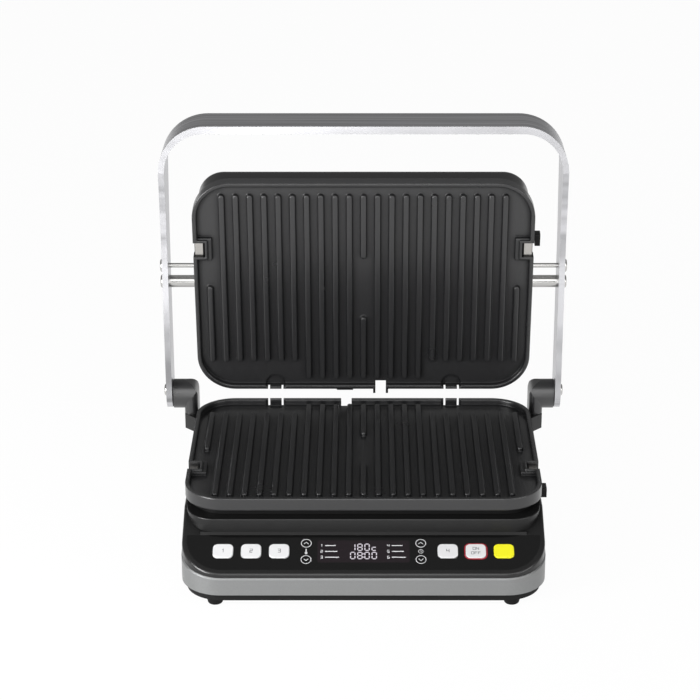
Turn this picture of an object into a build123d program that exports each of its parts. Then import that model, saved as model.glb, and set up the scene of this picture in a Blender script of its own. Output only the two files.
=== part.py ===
"""Electric contact grill: a heated base and a heated lid hung in a tall bail handle.

Frame: +X to the user's right, +Y to the back, +Z up, millimetres. The origin lies on the
counter under the middle of the grill. The lid stands open, as it is shown in the photograph.
"""

import os
from math import atan2, cos, degrees, radians, sin, tan

from build123d import *

# Overrun of every cut past the face that it starts from
cut_over = 1.0

# Clearances
seat_gap = 0.3          # between pieces that are set into each other
slide_gap = 0.25        # around a key, a button stem or a tray in its guide
pin_clearance = 0.05    # radial, of a pin that turns in a bore
turn_play = 0.2         # beside a part that turns on a pin

# Cooking plates, the same casting above and below, measured from the front edge and the rim
plate_width = 300.0
plate_depth = 206.5
plate_corner = 34.0
skirt_depth = 11.0
skirt_wall = 3.0
rim_width = 3.5
floor_drop = 5.0
floor_thick = 3.5
rib_count = 23
rib_side = 13.6         # middle of the outermost rib, in from the plate's side
rib_width = 5.6
rib_height = 3.6
rib_draft = 10.0
rib_front = 11.8
rib_back = 197.5
rib_back_outer = 179.7
rib_front_last = 101.7
middle_rib_gap = (74.8, 133.0)
long_ribs = 4           # ribs on each side of the middle that reach the drain channel
seat_pad = (16.0, 9.0)
seat_pad_height = 0.9
seat_pad_inset = 14.0

# Drain spout and stop lug on the plate's rear edge
spout_middle = -15.65
spout_width = 13.7
spout_leg = 2.1
spout_reach = 8.0
spout_cut_in = 6.0
stop_lug_middle = 16.95
stop_lug_width = 14.9
stop_lug_reach = 4.7
rear_lug_drop = 2.0     # top of the rear lugs below the rim

# Round cups inside the rear edge, each with two slits through the edge
rear_cup_radius = 8.8
rear_cup_side = 70.0    # middle of a cup, in from the plate's side
rear_cup_in = 3.0
rear_cup_wall = 2.2
rear_cup_drop = 7.0
rear_cup_floor = 2.2
rear_slit_width = 1.8
rear_slit_apart = 12.2

# Latch pads at the middle of the plate's sides
latch_y = 64.9
latch_pad_length = 21.5
latch_pad_width = 16.3
latch_pad_drop = 1.8
latch_notch_length = 14.0
latch_notch_width = 10.5
latch_notch_wall = 2.2
latch_ledge_drop = 6.0
latch_slot_width = 6.5

# Latch clips and their release buttons
clip_thick = 2.9
clip_length = 12.8
clip_outer_inset = 2.8   # outer face of the clip, in from the plate's side
clip_nose_in = 8.5       # the nose reaches from here to its outer side, in from the plate's side
clip_nose_out = 1.6
clip_nose_height = 2.5
clip_top_drop = 3.2
clip_pivot_drop = 20.0
clip_tail_drop = 29.0
clip_pin_radius = 1.0
clip_boss_radius = 2.2
clip_pin_length = 18.0
push_drop = 27.2
button_stroke = 1.4
button_face_out = 6.8    # outer face of the button, out from the plate's side
button_cap = (12.0, 9.0)
button_cap_drop = 23.8
button_cap_round = 1.5
button_stem = (8.0, 2.0)
latch_block_length = 22.0
latch_block_depth = 10.2
latch_block_bottom = 31.9
latch_pocket_in = 8.2
latch_pocket_out = 1.8
latch_pocket_bottom = 30.5

# Reflector pans and heating elements, under either plate
wall_inset = 6.3         # base's collar wall in from the plate's outline
lid_inset = 4.4          # lid's wall in from the plate's outline
lid_corner = 23.0
housing_wall = 2.5
pan_sheet = 0.8
pan_inset = 21.0
pan_depth = 8.9
element_radius = 3.25
element_drop = 12.3
element_inset = (35.0, 25.0)
element_bend = 25.0
element_end_bend = 6.0
element_end_x = 20.0
element_end_drop = 27.0
rest_size = (9.0, 5.0)
probe_radius = 6.0
probe_foot_radius = 9.0
probe_foot = 1.2

# Where the lower plate lies, behind the base's front and above the counter
plate_in = 43.0
plate_rim_z = 79.3

# Base: black housing above, silver band, black cover and feet below
base_side = 0.5          # base's side out from the plate's
band_proud = 0.7
base_half_width = plate_width / 2 + base_side
band_half_width = base_half_width + band_proud
front_reach = 144.7      # from the origin to the base's front
base_depth = 257.0
base_front_corner = 34.0
base_back_corner = 10.0
rim_drop = 16.9          # top of the housing's rim below the plate's rim
edge_round = 2.5
deck_slope = 24.0
deck_in = 3.0
deck_front_z = 33.5
riser_in = 39.3
riser_corner = 25.0
riser_round = 0.8
bead_height = 2.0        # bead along the foot of the raised block
band_bottom = 12.5
band_front_top = 27.7
band_rise = 12.0
band_rise_length = 92.0
band_gap = 1.1
band_wall = 2.2
band_chamfer = 1.0
lip_depth = 6.0
tongue_wall = 2.0
cover_bottom = 5.7
cover_inset = 4.0
cover_floor = 2.5
cover_lip = 5.0
vent_count = 9
vent_pitch = 12.0
vent_size = (40.0, 4.0)
vent_in = 121.0
foot_side = 28.0          # middle of a foot, in from the base's side
foot_in = (12.0, 20.0)    # front and back feet, in from the base's ends
foot_radius = 7.4
foot_tip_radius = 6.0
foot_round = 1.5
foot_stem_radius = 3.0
foot_stem = 3.4
screw_side = 54.5
screw_in = (23.0, 20.0)
screw_radius = 1.9
screw_head_radius = 3.6
screw_head = 2.0
post_radius = 5.0

# Control panel set into the sloping deck
panel_thick = 1.2
panel_inset = 4.0
key_size = (16.7, 14.2)
key_corner = 4.0
key_up = 20.4            # up the slope from the deck's front
key_proud = 1.0
key_depth = 3.2
key_travel = 0.8
key_round = 0.5
key_side = 34.7          # middle of the outermost key, in from the base's side
key_pitch = 23.15
window_side = 31.5       # window's end, in from the middle of the innermost key
window_depth = 23.0
window_corner = 2.0
board_drop = 8.5
board_side = 18.5
board_depth = 27.0
board_thick = 1.6
board_post_radius = 2.5
switch_size = 6.0
display_edge = (3.0, 1.5)   # display's sides, in from the window's

# Power board, cord gland and drip tray inside and behind the base
power_board_size = (90.0, 60.0)
power_board_side = 70.5
power_board_in = 111.0
stand_off = 5.0
relay_size = (20.0, 16.0, 15.0)
gland_side = 38.5
gland_z = 26.0
gland_radius = 6.5
gland_bore = 3.6
gland_flange = 8.5
gland_out = 5.0
tray_half_width = 58.0
tray_length = 62.0
tray_bottom = 14.0
tray_height = 18.0
tray_wall = 1.6
tray_lip = 5.0
tray_lip_half_width = 20.0
tray_corner = 8.0
tray_travel = 55.0
rail_height = 3.6
rail_width = 4.0
chute_half_width = 34.0
chute_length = 8.0

# Hinge at the back: ears, elbows and the bail's pivot
pivot_in = 254.8         # behind the base's front
pivot_rise = 6.2         # above the lower plate's rim
ear_drop = 13.0          # top of the ears below the rim
ear_height = 14.0
ear_front_length = 23.6  # from the pivot to the start of the flare
ear_gap = 0.6            # beside the base, where the lid swings past
ear_out = 12.5
elbow_radius = 13.3
elbow_sink = 3.6         # elbow's round form below the pivot's axis
elbow_gap = 0.2
elbow_width = 22.4
elbow_post = 12.5
elbow_post_round = 5.5
elbow_corner = 12.4
pivot_bolt_radius = 4.0
pivot_bolt_depth = 14.0
pivot_head_radius = 5.5
pivot_head = 2.6
head_round = 1.8
elbow_screw_radius = 2.0
elbow_screw_depth = 10.0
washer_radius = 9.5

# Bail handle, measured up its arms from the pivot
bail_lean = 1.27
bail_side = 0.75         # between an elbow and the arm beside it, where the washer lies
bail_thick = 5.2
bail_grip_thick = 6.8
bail_top_gap = 49.23     # top of the grip above the lid's top edge
bail_corner = 42.0
arm_radius = 15.7
grip_depth = 44.5
grip_taper_start = 150.0
lid_pin_radius = 5.5
lid_pin_neck = 4.0
lid_pin_depth = 9.0
lid_pin_head = 6.0
stop_pin_up = 15.0
stop_pin_radius = 2.05
stop_pin_head = 6.0
pin_head_height = 2.8

# Lid, in the frame of its plate
lid_tilt = 8.43          # the plate leans forward of the arms by this
lid_pin_off = 3.28       # pins from the middle of the plate's depth, to the front
lid_pin_low = 1.33       # pins up the arm, less than their place along the plate
lid_pin_back = 21.09
lid_depth = 46.0
lid_crown = 4.0
lid_back_round = 12.0
lid_boss_radius = 10.5
tilt_forward = 2.3
tilt_back = 8.0

# Places worked out from the sizes above
base_front = -front_reach
base_back = base_front + base_depth
plate_front_y = base_front + plate_in
deck_front_y = base_front + deck_in
riser_y = base_front + riser_in
band_rise_end_y = base_front + band_rise_length
pivot_y = base_front + pivot_in
pivot_z = plate_rim_z + pivot_rise
ear_top = plate_rim_z - ear_drop
ear_inner = base_half_width + ear_gap
elbow_inner = base_half_width + elbow_gap
elbow_face = elbow_inner + elbow_width
arm_inner = elbow_face + bail_side
bail_half_width = arm_inner + bail_thick
lid_pin_y = plate_depth / 2 + lid_pin_off
lid_pin_up = lid_pin_y - lid_pin_low
bail_height = lid_pin_up + plate_depth - lid_pin_y + bail_top_gap
button_cap_thick = button_face_out - base_side - button_stroke - turn_play
key_first_x = base_half_width - key_side - 2 * key_pitch
window_size = (2 * (key_first_x - window_side), window_depth)
board_size = (2 * (base_half_width - board_side), board_depth)
display_size = (window_size[0] - 2 * display_edge[0], window_size[1] - 2 * display_edge[1])
power_board_x = power_board_side - base_half_width
gland_x = base_half_width - gland_side
rib_pitch = (plate_width - 2 * rib_side) / (rib_count - 1)
lower_frame = Plane(origin=(0, plate_front_y, plate_rim_z))
deck_angle = radians(deck_slope)
deck_frame = Plane(
    origin=(0, deck_front_y, deck_front_z),
    x_dir=(1, 0, 0),
    z_dir=(0, -sin(deck_angle), cos(deck_angle)),
)
bail_angle = radians(bail_lean)
bail_frame = Plane(
    origin=(0, pivot_y, pivot_z),
    x_dir=(1, 0, 0),
    z_dir=(0, sin(bail_angle), cos(bail_angle)),
)
face_angle = radians(lid_tilt - bail_lean)
lid_axis_y = pivot_y + lid_pin_up * sin(bail_angle)
lid_axis_z = pivot_z + lid_pin_up * cos(bail_angle)
upper_frame = Plane(
    origin=(
        0,
        lid_axis_y - lid_pin_y * sin(face_angle) - lid_pin_back * cos(face_angle),
        lid_axis_z + lid_pin_y * cos(face_angle) - lid_pin_back * sin(face_angle),
    ),
    x_dir=(-1, 0, 0),
    z_dir=(0, -cos(face_angle), -sin(face_angle)),
)
half_plate = plate_width / 2
rim_z = plate_rim_z - rim_drop
pan_top_drop = floor_drop + floor_thick + seat_pad_height
wall_top_drop = pan_top_drop + pan_sheet
element_floor_drop = pan_top_drop + pan_depth - pan_sheet
clip_middle = half_plate - clip_outer_inset - clip_thick / 2
rear_cup_x = half_plate - rear_cup_side


def on(frame, flat):
    """Plane `flat`, given in the axes of `frame`."""
    return Plane(frame.location * flat.location)


def rounded(width, depth, radius, middle=(0, 0)):
    """Rectangle with round corners."""
    with BuildSketch() as shape:
        with Locations(middle):
            RectangleRounded(width, depth, radius)
    return shape.sketch


def plate_outline(inset):
    """Outline of a cooking plate, drawn in by `inset`."""
    width = plate_width - 2 * inset
    depth = plate_depth - 2 * inset
    return rounded(width, depth, plate_corner - inset, (0, plate_depth / 2))


def base_outline(inset, half_width=base_half_width):
    """Plan of the base, with wide front corners and tight back ones, drawn in by `inset`."""
    with BuildSketch() as shape:
        with Locations((0, (base_front + base_back) / 2)):
            Rectangle(2 * (half_width - inset), base_back - base_front - 2 * inset)
        corners = shape.vertices().group_by(Axis.Y)
        fillet(corners[0], base_front_corner - inset)
        fillet(corners[-1], base_back_corner - inset)
    return shape.sketch


def box_sketch(low, high):
    """Rectangle between two corners."""
    with BuildSketch() as shape:
        with Locations(((low[0] + high[0]) / 2, (low[1] + high[1]) / 2)):
            Rectangle(abs(high[0] - low[0]), abs(high[1] - low[1]))
    return shape.sketch


def parting(y, lift=0.0):
    """Height of the silver band's top edge at `y`, raised by `lift`."""
    run = min(y, band_rise_end_y) - base_front
    return band_front_top + run * tan(radians(band_rise)) + lift


def deck_height(y):
    """Height of the sloping deck at `y`."""
    return deck_front_z + (y - deck_front_y) * tan(deck_angle)


rim_start_y = deck_front_y + (rim_z - deck_front_z) / tan(deck_angle)


def housing_side(lift):
    """Side view of the top housing down to the band's top edge raised by `lift`."""
    front = base_front - cut_over
    back = base_back + cut_over
    with BuildSketch() as shape:
        with BuildLine():
            Polyline(
                (front, parting(front, lift)),
                (front, deck_height(front)),
                (rim_start_y, rim_z),
                (back, rim_z),
                (back, parting(back, lift)),
                (band_rise_end_y, parting(band_rise_end_y, lift)),
                close=True,
            )
        make_face()
    return shape.sketch


def housing_void_side():
    """Side view of the space under the top housing's roof."""
    front = base_front - cut_over
    back = base_back + cut_over
    roof_drop = housing_wall / cos(deck_angle)
    with BuildSketch() as shape:
        with BuildLine():
            Polyline(
                (front, cover_bottom),
                (front, deck_height(front) - roof_drop - panel_thick),
                (riser_y, deck_height(riser_y) - roof_drop - panel_thick),
                (rim_start_y, rim_z - housing_wall),
                (back, rim_z - housing_wall),
                (back, cover_bottom),
                close=True,
            )
        make_face()
    return shape.sketch


def rib_spans(index):
    """Start and end of each rib at one place across the plate, from its front edge."""
    if index == 0:
        return [(rib_front, middle_rib_gap[0]), (middle_rib_gap[1], rib_back)]
    if index <= long_ribs:
        return [(rib_front, rib_back)]
    if index < rib_count // 2:
        return [(rib_front, rib_back_outer)]
    return [(rib_front_last, rib_back_outer)]


def cooking_plate(frame):
    """Cast plate, ribs up: rim, floor, ribs, drain spout, latch pads and seat pads."""
    spout_inner = spout_width - 2 * spout_leg
    leg_shift = (spout_width - spout_leg) / 2
    with BuildPart() as plate:
        with BuildSketch(frame):
            add(plate_outline(0))
        extrude(amount=-skirt_depth)
        with BuildSketch(frame):
            add(plate_outline(rim_width))
        extrude(amount=-floor_drop, mode=Mode.SUBTRACT)
        with BuildSketch(frame.offset(-skirt_depth)):
            add(plate_outline(skirt_wall))
        extrude(amount=skirt_depth - floor_drop - floor_thick, mode=Mode.SUBTRACT)

        # Ribs, with drafted sides and round ends
        with BuildSketch(frame.offset(-floor_drop)):
            for step in range(-(rib_count // 2), rib_count // 2 + 1):
                for start, end in rib_spans(abs(step)):
                    with Locations((step * rib_pitch, (start + end) / 2)):
                        SlotOverall(end - start, rib_width, rotation=90)
        extrude(amount=rib_height, taper=rib_draft)

        # Latch pads, a wall round each notch, then the notch and the slot for a clip
        notch_wall_width = latch_notch_width + latch_notch_wall
        for side in (-1, 1):
            with BuildSketch(frame.offset(-floor_drop)):
                with Locations((side * (half_plate - latch_pad_width / 2), latch_y)):
                    Rectangle(latch_pad_width, latch_pad_length)
            extrude(amount=floor_drop - latch_pad_drop)
            with BuildSketch(frame.offset(-floor_drop)):
                with Locations((side * (half_plate - notch_wall_width / 2), latch_y)):
                    Rectangle(notch_wall_width, latch_notch_length + 2 * latch_notch_wall)
            extrude(amount=floor_drop)
            with BuildSketch(frame):
                with Locations((side * (half_plate - latch_notch_width / 2), latch_y)):
                    Rectangle(latch_notch_width, latch_notch_length)
            extrude(amount=-latch_ledge_drop, mode=Mode.SUBTRACT)
            with BuildSketch(frame):
                with Locations((side * (half_plate - latch_slot_width / 2), latch_y)):
                    Rectangle(latch_slot_width, latch_notch_length)
            extrude(amount=-skirt_depth, mode=Mode.SUBTRACT)

        # Spout legs and stop lug stand out of the rear edge
        with BuildSketch(frame.offset(-skirt_depth)):
            for shift in (-leg_shift, leg_shift):
                with Locations((spout_middle + shift, plate_depth + spout_reach / 2 - skirt_wall / 2)):
                    Rectangle(spout_leg, spout_reach + skirt_wall)
            with Locations((stop_lug_middle, plate_depth + stop_lug_reach / 2 - skirt_wall / 2)):
                Rectangle(stop_lug_width, stop_lug_reach + skirt_wall)
        extrude(amount=skirt_depth - floor_drop - rear_lug_drop / 2)
        # Cups inside the rear edge, and the slits that open them to the back
        cup_places = [(side * rear_cup_x, plate_depth - rear_cup_in) for side in (-1, 1)]
        with BuildSketch(frame.offset(-rear_cup_drop - rear_cup_floor)):
            with Locations(*cup_places):
                Circle(rear_cup_radius + rear_cup_wall)
            add(plate_outline(skirt_wall / 2), mode=Mode.INTERSECT)
        extrude(amount=rear_cup_floor)
        with BuildSketch(frame):
            with Locations(*cup_places):
                Circle(rear_cup_radius)
            add(plate_outline(rear_cup_wall), mode=Mode.INTERSECT)
        extrude(amount=-rear_cup_drop, mode=Mode.SUBTRACT)
        with BuildSketch(frame):
            with Locations(*[(x, plate_depth) for x, y in cup_places]):
                with GridLocations(rear_slit_apart, rear_cup_wall, 2, 1):
                    Rectangle(rear_slit_width, 2 * rear_cup_wall + cut_over)
        extrude(amount=-rear_cup_drop, mode=Mode.SUBTRACT)
        with BuildSketch(frame):
            with Locations((spout_middle, plate_depth + (spout_reach - spout_cut_in) / 2)):
                Rectangle(spout_inner, spout_reach + spout_cut_in)
        extrude(amount=-skirt_depth, mode=Mode.SUBTRACT)

        # Pads that the plate rests on
        pad_y = plate_depth / 2 - seat_pad_inset - plate_corner
        with BuildSketch(frame.offset(-floor_drop - floor_thick)):
            for side in (-1, 1):
                with Locations(
                    (side * (half_plate - seat_pad_inset), plate_depth / 2 - pad_y),
                    (side * (half_plate - seat_pad_inset), plate_depth / 2 + pad_y),
                ):
                    Rectangle(seat_pad[1], seat_pad[0])
        extrude(amount=-seat_pad_height)
    return plate.part


def reflector(frame, inset):
    """Pressed steel pan that throws the heat towards the plate, its flange on the housing's wall."""
    with BuildPart() as pan:
        with BuildSketch(frame.offset(-wall_top_drop)):
            add(plate_outline(inset))
        extrude(amount=pan_sheet)
        with BuildSketch(frame.offset(-pan_top_drop)):
            add(plate_outline(pan_inset - pan_sheet))
        extrude(amount=-pan_depth)
        with BuildSketch(frame.offset(-pan_top_drop)):
            add(plate_outline(pan_inset))
        extrude(amount=pan_sheet - pan_depth, mode=Mode.SUBTRACT)
        end_y = plate_depth - element_inset[1]
        with BuildSketch(frame.offset(-element_floor_drop)):
            with Locations((-element_end_x, end_y), (element_end_x, end_y)):
                Circle(element_radius + seat_gap)
        extrude(amount=-pan_sheet, mode=Mode.SUBTRACT)
        # The flange leaves the clip and the catch free
        with BuildSketch(frame.offset(-pan_top_drop)):
            add(latch_pocket_sketch(-1))
            add(latch_pocket_sketch(1))
        extrude(amount=-pan_sheet, mode=Mode.SUBTRACT)
    return pan.part


def heating_element(frame):
    """Tubular element, one loop that follows the plate, with both ends led through the pan."""
    left = element_inset[0] - half_plate
    near = element_inset[1]
    far = plate_depth - element_inset[1]
    height = -element_drop
    low = -element_end_drop
    route = [
        (-element_end_x, far, low),
        (-element_end_x, far, height),
        (left, far, height),
        (left, near, height),
        (-left, near, height),
        (-left, far, height),
        (element_end_x, far, height),
        (element_end_x, far, low),
    ]
    bends = [element_end_bend] + [element_bend] * (len(route) - 4) + [element_end_bend]
    points = [frame.from_local_coords(Vector(*point)) for point in route]
    with BuildPart() as tube:
        with BuildLine() as path:
            FilletPolyline(*points, radius=bends)
        with BuildSketch(Plane(origin=path.line @ 0, z_dir=path.line % 0)):
            Circle(element_radius)
        sweep()
    return tube.part


def element_rests(frame):
    """Ceramic blocks that the element lies on in its pan."""
    near = element_inset[1]
    far = plate_depth - element_inset[1]
    left = element_inset[0] - half_plate
    with BuildPart() as rests:
        with BuildSketch(frame.offset(-element_floor_drop)):
            with Locations((left / 2, near), (-left / 2, near), (left / 2, far), (-left / 2, far)):
                Rectangle(*rest_size)
        extrude(amount=element_floor_drop - element_drop - element_radius)
    return rests.part


def heat_probe(frame):
    """Temperature probe that stands in the middle of the pan and nearly meets the plate."""
    reach = element_floor_drop - floor_drop - floor_thick - seat_gap
    with BuildPart() as probe:
        with BuildSketch(frame.offset(-element_floor_drop)):
            with Locations((0, plate_depth / 2)):
                Circle(probe_foot_radius)
        extrude(amount=probe_foot)
        with BuildSketch(frame.offset(-element_floor_drop)):
            with Locations((0, plate_depth / 2)):
                Circle(probe_radius)
        extrude(amount=reach)
    return probe.part


def latch_block_sketch(side):
    """Plan of the block beside the wall that carries a catch or a clip."""
    middle = half_plate - latch_block_depth / 2
    with BuildSketch() as shape:
        with Locations((side * middle, latch_y)):
            Rectangle(latch_block_depth, latch_block_length)
    return shape.sketch


def latch_pocket_sketch(side):
    """Plan of the pocket in which a clip rocks."""
    middle = half_plate - (latch_pocket_in + latch_pocket_out) / 2
    with BuildSketch() as shape:
        with Locations((side * middle, latch_y)):
            Rectangle(latch_pocket_in - latch_pocket_out, latch_notch_length)
    return shape.sketch


def nose_sketch(side):
    """Side view of the nose that holds a plate's ledge."""
    low = (side * (half_plate - clip_nose_in), -clip_top_drop - clip_nose_height)
    return box_sketch(low, (side * (half_plate - clip_nose_out), -clip_top_drop))


def outward_plane(frame, side, x):
    """Plane at `x` out from the middle of the plate, facing outwards at the latch."""
    flat = Plane(origin=(side * x, latch_y, 0), x_dir=(0, side, 0), z_dir=(side, 0, 0))
    return on(frame, flat)


def latch_clip(frame, side):
    """Rocking clip: its nose holds the plate's ledge, its tail meets the button."""
    inner = clip_middle - clip_thick / 2
    outer = clip_middle + clip_thick / 2
    with BuildPart() as clip:
        with BuildSketch(on(frame, Plane.XZ.offset(-latch_y))):
            add(box_sketch((side * inner, -clip_tail_drop), (side * outer, -clip_top_drop)))
            add(nose_sketch(side))
            with Locations((side * clip_middle, -clip_pivot_drop)):
                Circle(clip_boss_radius)
        extrude(amount=clip_length / 2, both=True)
        with BuildSketch(on(frame, Plane.XZ.offset(-latch_y))):
            with Locations((side * clip_middle, -clip_pivot_drop)):
                Circle(clip_pin_radius + pin_clearance)
        extrude(amount=clip_length, both=True, mode=Mode.SUBTRACT)
    return clip.part


def latch_pin(frame, side):
    """Steel pin that the clip rocks on."""
    with BuildPart() as pin:
        with BuildSketch(on(frame, Plane.XZ.offset(-latch_y))):
            with Locations((side * clip_middle, -clip_pivot_drop)):
                Circle(clip_pin_radius)
        extrude(amount=clip_pin_length / 2, both=True)
    return pin.part


def release_button(frame, side):
    """Push button: a cap outside the wall and a stem that reaches the clip's tail."""
    face = half_plate + button_face_out
    stem_end = clip_middle + clip_thick / 2 + seat_gap
    outward = outward_plane(frame, side, stem_end)
    with BuildPart() as button:
        with BuildSketch(outward.offset(face - stem_end - button_cap_thick)):
            with Locations((0, -button_cap_drop)):
                RectangleRounded(*button_cap, button_cap_round)
        extrude(amount=button_cap_thick)
        with BuildSketch(outward):
            with Locations((0, -push_drop)):
                Rectangle(*button_stem)
        extrude(amount=face - stem_end - button_cap_thick)
    return button.part


def stem_hole(frame, side):
    """Guide hole for a button's stem through the outer wall, as a cutting body."""
    with BuildPart() as cutter:
        with BuildSketch(outward_plane(frame, side, half_plate - latch_pocket_in)):
            with Locations((0, -push_drop)):
                Rectangle(button_stem[0] + 2 * slide_gap, button_stem[1] + 2 * slide_gap)
        extrude(amount=latch_pocket_in + cut_over)
    return cutter.part


def fixed_catch(frame, side):
    """Fixed hook on the side away from the button."""
    inner = clip_middle - clip_thick / 2
    outer = clip_middle + clip_thick / 2
    with BuildPart() as hook:
        with BuildSketch(on(frame, Plane.XZ.offset(-latch_y))):
            add(box_sketch((side * inner, -rim_drop), (side * outer, -clip_top_drop)))
            add(nose_sketch(side))
        extrude(amount=clip_length / 2, both=True)
    return hook.part


def cut_latch_pocket(frame, side):
    """Body of the space that a clip and its stem need in a housing."""
    with BuildPart() as space:
        with BuildSketch(frame.offset(-latch_pocket_bottom)):
            add(latch_pocket_sketch(side))
        extrude(amount=latch_pocket_bottom - rim_drop)
        add(stem_hole(frame, side))
        add(latch_pin(frame, side))
    return space.part


# Bottom cover, with vents, feet sockets and screw holes
def four_places(x, ends):
    """Places at both sides, in from the base's front and back by the two values of `ends`."""
    return [(side * x, y) for side in (-1, 1) for y in (base_front + ends[0], base_back - ends[1])]


foot_places = four_places(base_half_width - foot_side, foot_in)
screw_places = four_places(base_half_width - screw_side, screw_in)
power_board_place = (power_board_x, base_front + power_board_in)
tray_back = base_back
tray_front = tray_back - tray_length
rail_end = tray_back - band_wall - housing_wall
with BuildPart() as base_cover:
    with BuildSketch(Plane.XY.offset(cover_bottom)):
        add(base_outline(cover_inset, band_half_width))
    extrude(amount=band_bottom - cover_bottom)
    with BuildSketch(Plane.XY.offset(band_bottom)):
        add(base_outline(band_wall + seat_gap, band_half_width))
    extrude(amount=cover_lip)
    with BuildSketch(Plane.XY.offset(cover_bottom + cover_floor)):
        add(base_outline(band_wall + seat_gap + housing_wall, band_half_width))
    extrude(amount=band_bottom + cover_lip - cover_bottom, mode=Mode.SUBTRACT)
    # Posts for the screws stand on the floor
    with BuildSketch(Plane.XY.offset(cover_bottom)):
        with Locations(*screw_places):
            Circle(post_radius)
    extrude(amount=cover_floor + cover_lip)
    # Rails under and beside the drip tray
    with BuildSketch(Plane.XY.offset(cover_bottom + cover_floor)):
        for side in (-1, 1):
            rail_inner = side * (tray_half_width + slide_gap - rail_width)
            rail_outer = side * (tray_half_width + slide_gap + rail_width)
            add(box_sketch((rail_inner, tray_front), (rail_outer, rail_end)))
    extrude(amount=tray_bottom - cover_bottom - cover_floor - seat_gap)
    with BuildSketch(Plane.XY.offset(cover_bottom + cover_floor)):
        for side in (-1, 1):
            rail_inner = side * (tray_half_width + slide_gap)
            rail_outer = side * (tray_half_width + slide_gap + rail_width)
            add(box_sketch((rail_inner, tray_front), (rail_outer, rail_end)))
    extrude(amount=tray_bottom - cover_bottom - cover_floor + rail_height)
    # The tray's opening in the upstanding lip
    with BuildSketch(Plane.XY.offset(tray_bottom - seat_gap)):
        tray_side = tray_half_width + slide_gap
        add(box_sketch((-tray_side, tray_front), (tray_side, base_back)))
    extrude(amount=tray_height, mode=Mode.SUBTRACT)
    # Stand-offs under the power board
    with BuildSketch(Plane.XY.offset(cover_bottom + cover_floor)):
        with Locations(power_board_place):
            with GridLocations(
                power_board_size[0] - 2 * post_radius, power_board_size[1] - 2 * post_radius, 2, 2
            ):
                Circle(post_radius / 2)
    extrude(amount=stand_off)
    # Vents
    with BuildSketch(Plane.XY.offset(cover_bottom)):
        with Locations((0, base_front + vent_in)):
            with GridLocations(2 * vent_size[0], vent_pitch, 2, vent_count):
                SlotOverall(*vent_size)
    extrude(amount=cover_floor, mode=Mode.SUBTRACT)
    with BuildSketch(Plane.XY.offset(cover_bottom)):
        with Locations(*foot_places):
            Circle(foot_stem_radius)
    extrude(amount=cover_floor, mode=Mode.SUBTRACT)
    with BuildSketch(Plane.XY.offset(cover_bottom)):
        with Locations(*screw_places):
            Circle(screw_radius)
    extrude(amount=cover_floor + cover_lip, mode=Mode.SUBTRACT)
    with BuildSketch(Plane.XY.offset(cover_bottom)):
        with Locations(*screw_places):
            Circle(screw_head_radius + slide_gap)
    extrude(amount=screw_head, mode=Mode.SUBTRACT)

foot_draft = degrees(atan2(foot_radius - foot_tip_radius, cover_bottom))
with BuildPart() as rubber_feet:
    with BuildSketch(Plane.XY.offset(cover_bottom)):
        with Locations(*foot_places):
            Circle(foot_radius)
    extrude(amount=-cover_bottom, taper=foot_draft)
    fillet(rubber_feet.edges().group_by(Axis.Z)[0], foot_round)
    with BuildSketch(Plane.XY.offset(cover_bottom)):
        with Locations(*foot_places):
            Circle(foot_stem_radius)
    extrude(amount=foot_stem)

with BuildPart() as cover_screws:
    with BuildSketch(Plane.XY.offset(cover_bottom)):
        with Locations(*screw_places):
            Circle(screw_head_radius)
    extrude(amount=screw_head)
    with BuildSketch(Plane.XY.offset(cover_bottom)):
        with Locations(*screw_places):
            Circle(screw_radius)
    extrude(amount=cover_floor + cover_lip)

def on_band_top(edge):
    """True for the outer edges along the silver band's top."""
    middle = edge @ 0.5
    outline = base_outline(0, band_half_width).wires()[0]
    beside = outline.distance_to(Vector(middle.X, middle.Y, 0)) < pin_clearance
    return beside and middle.Z > parting(middle.Y) - pin_clearance


# Silver band round the lower half of the base, its top edge rising to the back
band_low = Plane.XY.offset(band_bottom)
band_top = parting(base_back)
with BuildPart() as lower_shell:
    with BuildSketch(band_low):
        add(base_outline(0, band_half_width))
        add(base_outline(band_wall, band_half_width), mode=Mode.SUBTRACT)
    extrude(amount=band_top - band_bottom)
    front = base_front - cut_over
    with BuildSketch(Plane.YZ):
        with BuildLine():
            Polyline(
                (front, parting(front)),
                (band_rise_end_y, parting(band_rise_end_y)),
                (band_rise_end_y, band_top + cut_over),
                (front, band_top + cut_over),
                close=True,
            )
        make_face()
    extrude(amount=band_half_width + cut_over, both=True, mode=Mode.SUBTRACT)
    chamfer([edge for edge in lower_shell.edges() if on_band_top(edge)], band_chamfer)
    # Opening for the drip tray and hole for the cord gland in the back
    with BuildSketch(Plane.XZ.offset(-base_back)):
        tray_side = tray_half_width + slide_gap
        tray_top = tray_bottom + tray_height + slide_gap
        add(box_sketch((-tray_side, tray_bottom - seat_gap), (tray_side, tray_top)))
    extrude(amount=band_wall, mode=Mode.SUBTRACT)
    with BuildSketch(Plane.XZ.offset(-base_back)):
        with Locations((gland_x, gland_z)):
            Circle(gland_radius)
    extrude(amount=band_wall, mode=Mode.SUBTRACT)

# Places that the top housing and the panel share
tongue_inset = band_half_width - base_half_width + band_wall + slide_gap
void_inset = tongue_inset + tongue_wall
collar_inset = wall_inset + housing_wall
collar_back_y = plate_front_y + plate_depth - wall_inset
key_places = [side * (key_first_x + step * key_pitch) for side in (-1, 1) for step in range(3)]
key_places.sort()


def across(profile):
    """Body as wide as the base, from a side view."""
    with BuildPart() as slab:
        with BuildSketch(Plane.YZ):
            add(profile)
        extrude(amount=band_half_width + cut_over, both=True)
    return slab.part


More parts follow.
